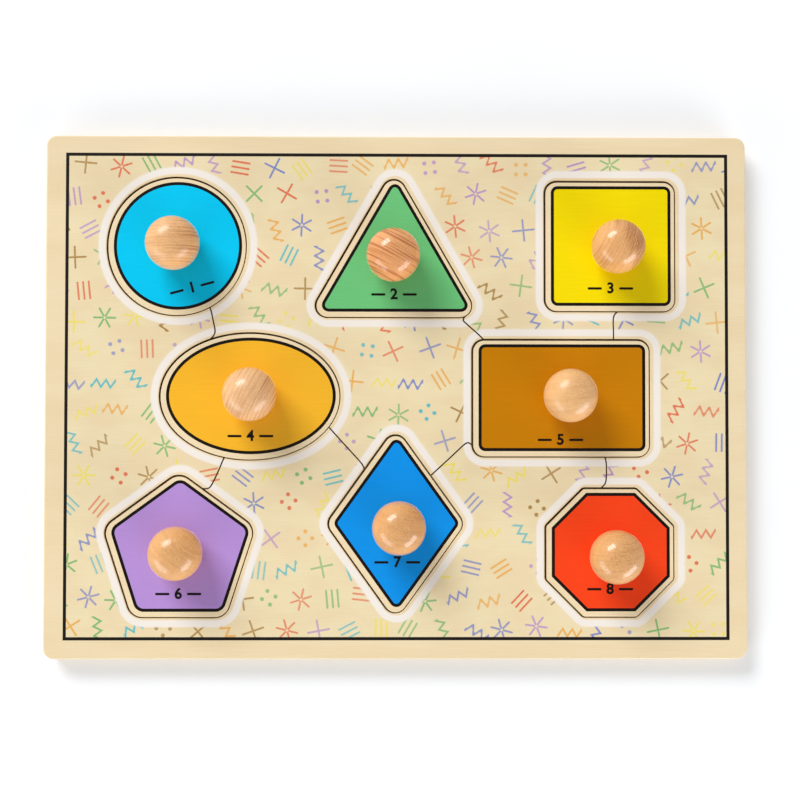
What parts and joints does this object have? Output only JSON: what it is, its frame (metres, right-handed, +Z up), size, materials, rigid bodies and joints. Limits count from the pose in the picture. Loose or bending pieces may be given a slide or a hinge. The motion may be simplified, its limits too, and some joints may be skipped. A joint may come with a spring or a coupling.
{
  "type": "peg puzzle",
  "caption": "Wooden shape sorting puzzle for small children: a flat printed tray whose flush sawn shapes lift out by large turned knobs",
  "frame": {"origin": "middle of the underside, on the surface that the puzzle lies on", "axes": "+X to the right of the printed face, +Y to its back edge, +Z up out of the printed face"},
  "size_m": [0.4, 0.298, 0.0385],
  "materials": {
    "backing_ply": "bare sanded plywood",
    "tray_print": "printed and varnished birch plywood, matt",
    "sky_blue_print": "printed plywood, satin varnish",
    "green_print": "printed plywood, satin varnish",
    "yellow_print": "printed plywood, satin varnish",
    "orange_print": "printed plywood, satin varnish",
    "brown_print": "printed plywood, satin varnish",
    "purple_print": "printed plywood, satin varnish",
    "blue_print": "printed plywood, satin varnish",
    "red_print": "printed plywood, satin varnish",
    "knob_wood": "turned hardwood, clear gloss varnish",
    "screw_steel": "zinc plated steel"
  },
  "bodies": {
    "tray": {"backing_board": "backing_ply", "tray_panel": "tray_print"},
    "circle_lift": {"circle_screw": "screw_steel"},
    "circle_piece": {"circle_plate": "sky_blue_print", "circle_knob": "knob_wood"},
    "triangle_piece": {"triangle_plate": "green_print", "triangle_knob": "knob_wood", "triangle_screw": "screw_steel"},
    "square_piece": {"square_plate": "yellow_print", "square_knob": "knob_wood", "square_screw": "screw_steel"},
    "oval_piece": {"oval_plate": "orange_print", "oval_knob": "knob_wood", "oval_screw": "screw_steel"},
    "rectangle_piece": {"rectangle_plate": "brown_print", "rectangle_knob": "knob_wood", "rectangle_screw": "screw_steel"},
    "pentagon_piece": {"pentagon_plate": "purple_print", "pentagon_knob": "knob_wood", "pentagon_screw": "screw_steel"},
    "diamond_piece": {"diamond_plate": "blue_print", "diamond_knob": "knob_wood", "diamond_screw": "screw_steel"},
    "octagon_piece": {"octagon_plate": "red_print", "octagon_knob": "knob_wood", "octagon_screw": "screw_steel"}
  },
  "joints": [
    {"name": "circle_lift_out", "type": "slide", "parent": "tray", "child": "circle_lift", "axis": [0, 0, 1], "range_m": [0, 0.04]},
    {"name": "circle_turn", "type": "hinge", "parent": "circle_lift", "child": "circle_piece", "pos_m": [-0.12517, 0.08536, 0], "axis": [0, 0, 1], "continuous": true},
    {"name": "triangle_lift_out", "type": "slide", "parent": "tray", "child": "triangle_piece", "axis": [0, 0, 1], "range_m": [0, 0.04]},
    {"name": "square_lift_out", "type": "slide", "parent": "tray", "child": "square_piece", "axis": [0, 0, 1], "range_m": [0, 0.04]},
    {"name": "oval_lift_out", "type": "slide", "parent": "tray", "child": "oval_piece", "axis": [0, 0, 1], "range_m": [0, 0.04]},
    {"name": "rectangle_lift_out", "type": "slide", "parent": "tray", "child": "rectangle_piece", "axis": [0, 0, 1], "range_m": [0, 0.04]},
    {"name": "pentagon_lift_out", "type": "slide", "parent": "tray", "child": "pentagon_piece", "axis": [0, 0, 1], "range_m": [0, 0.04]},
    {"name": "diamond_lift_out", "type": "slide", "parent": "tray", "child": "diamond_piece", "axis": [0, 0, 1], "range_m": [0, 0.04]},
    {"name": "octagon_lift_out", "type": "slide", "parent": "tray", "child": "octagon_piece", "axis": [0, 0, 1], "range_m": [0, 0.04]}
  ]
}
